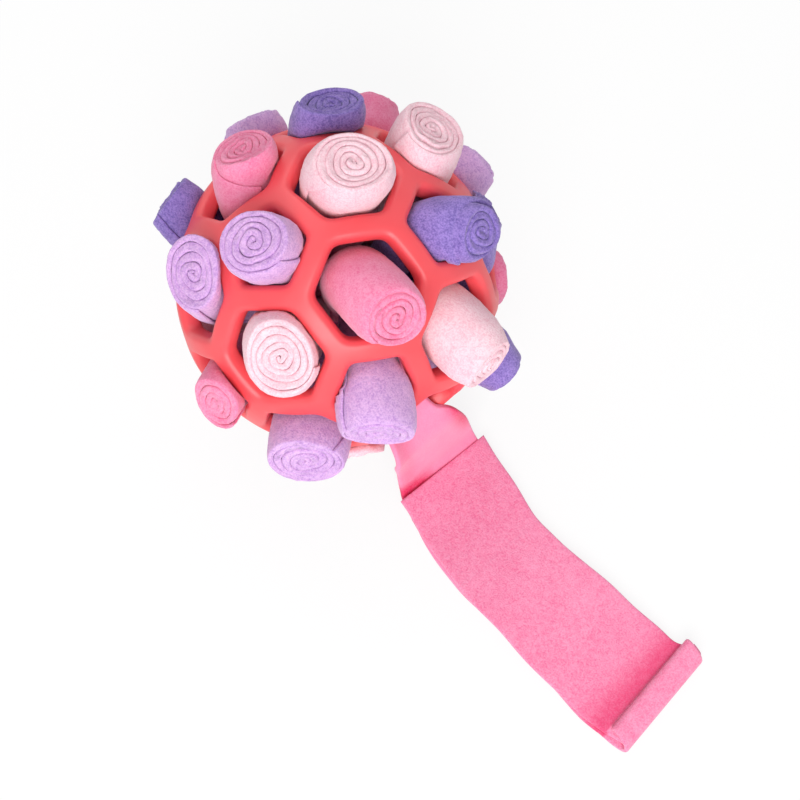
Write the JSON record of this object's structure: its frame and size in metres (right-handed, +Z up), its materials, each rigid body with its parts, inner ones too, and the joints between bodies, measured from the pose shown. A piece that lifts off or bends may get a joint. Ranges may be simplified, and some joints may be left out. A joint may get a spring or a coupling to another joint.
{
  "type": "dog snuffle ball",
  "caption": "Dog snuffle ball: a rubber ball of open cells with rolled fleece strips that pull out through its holes, and a strip laid open on the table.",
  "frame": {"origin": "middle of the base of the whole's bounding box, on the surface it rests on", "axes": "+X along the open strip, away from the ball; +Y to the left of the strip; +Z up"},
  "size_m": [0.3252, 0.1786, 0.1733],
  "materials": {
    "rubber": "satin",
    "fleece_pale_pink": "fuzzy fleece",
    "fleece_pink": "fuzzy fleece",
    "fleece_lilac": "fuzzy fleece",
    "fleece_purple": "fuzzy fleece"
  },
  "bodies": {
    "ball": {"rubber_ball": "rubber", "sewn_core": "fleece_pink", "strip_tail": "fleece_pink"},
    "roll_00": {"roll_00_pink": "fleece_pink"},
    "roll_01": {"roll_01_lilac": "fleece_lilac"},
    "roll_02": {"roll_02_lilac": "fleece_lilac"},
    "roll_03": {"roll_03_purple": "fleece_purple"},
    "roll_04": {"roll_04_pale_pink": "fleece_pale_pink"},
    "roll_05": {"roll_05_pale_pink": "fleece_pale_pink"},
    "roll_06": {"roll_06_pale_pink": "fleece_pale_pink"},
    "roll_07": {"roll_07_lilac": "fleece_lilac"},
    "roll_08": {"roll_08_lilac": "fleece_lilac"},
    "roll_10": {"roll_10_purple": "fleece_purple"},
    "roll_11": {"roll_11_pale_pink": "fleece_pale_pink"},
    "roll_12": {"roll_12_pink": "fleece_pink"},
    "roll_13": {"roll_13_pink": "fleece_pink"},
    "roll_14": {"roll_14_purple": "fleece_purple"},
    "roll_15": {"roll_15_purple": "fleece_purple"},
    "roll_16": {"roll_16_purple": "fleece_purple"},
    "roll_17": {"roll_17_pale_pink": "fleece_pale_pink"},
    "roll_18": {"roll_18_lilac": "fleece_lilac"},
    "roll_19": {"roll_19_pale_pink": "fleece_pale_pink"},
    "roll_20": {"roll_20_purple": "fleece_purple"},
    "roll_21": {"roll_21_lilac": "fleece_lilac"},
    "roll_22": {"roll_22_pink": "fleece_pink"},
    "roll_23": {"roll_23_pink": "fleece_pink"},
    "roll_24": {"roll_24_lilac": "fleece_lilac"},
    "roll_25": {"roll_25_pink": "fleece_pink"},
    "roll_26": {"roll_26_purple": "fleece_purple"},
    "roll_27": {"roll_27_pale_pink": "fleece_pale_pink"},
    "roll_28": {"roll_28_lilac": "fleece_lilac"},
    "roll_29": {"roll_29_pink": "fleece_pink"},
    "roll_30": {"roll_30_pale_pink": "fleece_pale_pink"},
    "roll_31": {"roll_31_purple": "fleece_purple"},
    "strip_near": {"strip_near_under": "fleece_pink", "strip_near_top": "fleece_pink"},
    "strip_far": {"strip_far_under": "fleece_pink", "strip_far_top": "fleece_pink"},
    "strip_end": {"strip_rolled_end": "fleece_pink"}
  },
  "joints": [
    {"name": "roll_00_pull", "type": "slide", "parent": "ball", "child": "roll_00", "axis": [0.4577, -0.1038, 0.883], "range_m": [0, 0.01]},
    {"name": "roll_01_pull", "type": "slide", "parent": "ball", "child": "roll_01", "axis": [-0.1092, -0.4015, 0.9093], "range_m": [0, 0.01]},
    {"name": "roll_02_pull", "type": "slide", "parent": "ball", "child": "roll_02", "axis": [0.8254, -0.367, 0.4289], "range_m": [0, 0.01]},
    {"name": "roll_03_pull", "type": "slide", "parent": "ball", "child": "roll_03", "axis": [0.3749, 0.5209, 0.7668], "range_m": [0, 0.01]},
    {"name": "roll_04_pull", "type": "slide", "parent": "ball", "child": "roll_04", "axis": [0.3289, -0.7401, 0.5866], "range_m": [0, 0.01]},
    {"name": "roll_05_pull", "type": "slide", "parent": "ball", "child": "roll_05", "axis": [0.8605, 0.2729, 0.4302], "range_m": [0, 0.01]},
    {"name": "roll_06_pull", "type": "slide", "parent": "ball", "child": "roll_06", "axis": [-0.1659, 0.235, 0.9577], "range_m": [0, 0.01]},
    {"name": "roll_07_pull", "type": "slide", "parent": "ball", "child": "roll_07", "axis": [-0.3744, -0.7945, 0.4781], "range_m": [0, 0.01]},
    {"name": "roll_08_pull", "type": "slide", "parent": "ball", "child": "roll_08", "axis": [0.652, -0.7566, -0.0494], "range_m": [0, 0.01]},
    {"name": "roll_10_pull", "type": "slide", "parent": "ball", "child": "roll_10", "axis": [0.4858, 0.8446, 0.225], "range_m": [0, 0.01]},
    {"name": "roll_11_pull", "type": "slide", "parent": "ball", "child": "roll_11", "axis": [-0.1485, 0.8212, 0.551], "range_m": [0, 0.01]},
    {"name": "roll_12_pull", "type": "slide", "parent": "ball", "child": "roll_12", "axis": [-0.6802, -0.1919, 0.7075], "range_m": [0, 0.01]},
    {"name": "roll_13_pull", "type": "slide", "parent": "ball", "child": "roll_13", "axis": [0.0678, -0.9959, 0.0602], "range_m": [0, 0.01]},
    {"name": "roll_14_pull", "type": "slide", "parent": "ball", "child": "roll_14", "axis": [0.8511, 0.4967, -0.1703], "range_m": [0, 0.01]},
    {"name": "roll_15_pull", "type": "slide", "parent": "ball", "child": "roll_15", "axis": [-0.6612, 0.4408, 0.607], "range_m": [0, 0.01]},
    {"name": "roll_16_pull", "type": "slide", "parent": "ball", "child": "roll_16", "axis": [-0.8511, -0.4967, 0.1703], "range_m": [0, 0.01]},
    {"name": "roll_17_pull", "type": "slide", "parent": "ball", "child": "roll_17", "axis": [0.6612, -0.4408, -0.607], "range_m": [0, 0.01]},
    {"name": "roll_18_pull", "type": "slide", "parent": "ball", "child": "roll_18", "axis": [-0.0678, 0.9959, -0.0602], "range_m": [0, 0.01]},
    {"name": "roll_19_pull", "type": "slide", "parent": "ball", "child": "roll_19", "axis": [-0.4858, -0.8446, -0.225], "range_m": [0, 0.01]},
    {"name": "roll_20_pull", "type": "slide", "parent": "ball", "child": "roll_20", "axis": [0.1485, -0.8212, -0.551], "range_m": [0, 0.01]},
    {"name": "roll_21_pull", "type": "slide", "parent": "ball", "child": "roll_21", "axis": [0.6802, 0.1919, -0.7075], "range_m": [0, 0.01]},
    {"name": "roll_22_pull", "type": "slide", "parent": "ball", "child": "roll_22", "axis": [0.3744, 0.7945, -0.4781], "range_m": [0, 0.01]},
    {"name": "roll_23_pull", "type": "slide", "parent": "ball", "child": "roll_23", "axis": [-0.652, 0.7566, 0.0494], "range_m": [0, 0.01]},
    {"name": "roll_24_pull", "type": "slide", "parent": "ball", "child": "roll_24", "axis": [-0.9806, 0.1305, 0.1461], "range_m": [0, 0.01]},
    {"name": "roll_25_pull", "type": "slide", "parent": "ball", "child": "roll_25", "axis": [-0.8605, -0.2729, -0.4302], "range_m": [0, 0.01]},
    {"name": "roll_26_pull", "type": "slide", "parent": "ball", "child": "roll_26", "axis": [0.1659, -0.235, -0.9577], "range_m": [0, 0.01]},
    {"name": "roll_27_pull", "type": "slide", "parent": "ball", "child": "roll_27", "axis": [-0.3289, 0.7401, -0.5866], "range_m": [0, 0.01]},
    {"name": "roll_28_pull", "type": "slide", "parent": "ball", "child": "roll_28", "axis": [-0.3749, -0.5209, -0.7668], "range_m": [0, 0.01]},
    {"name": "roll_29_pull", "type": "slide", "parent": "ball", "child": "roll_29", "axis": [0.1092, 0.4015, -0.9093], "range_m": [0, 0.01]},
    {"name": "roll_30_pull", "type": "slide", "parent": "ball", "child": "roll_30", "axis": [-0.8254, 0.367, -0.4289], "range_m": [0, 0.01]},
    {"name": "roll_31_pull", "type": "slide", "parent": "ball", "child": "roll_31", "axis": [-0.4577, 0.1038, -0.883], "range_m": [0, 0.01]},
    {"name": "strip_lift", "type": "hinge", "parent": "ball", "child": "strip_near", "pos_m": [0.0104, -0.0109, 0.00315], "axis": [0, -1, 0], "range_deg": [0, 40]},
    {"name": "strip_fold", "type": "hinge", "parent": "strip_near", "child": "strip_far", "pos_m": [0.10535, -0.0099, 0.00645], "axis": [0, -1, 0], "range_deg": [0, 150]},
    {"name": "strip_end_curl", "type": "hinge", "parent": "strip_far", "child": "strip_end", "pos_m": [0.14835, -0.0069, 0.00645], "axis": [0, -1, 0], "range_deg": [0, 90]}
  ]
}
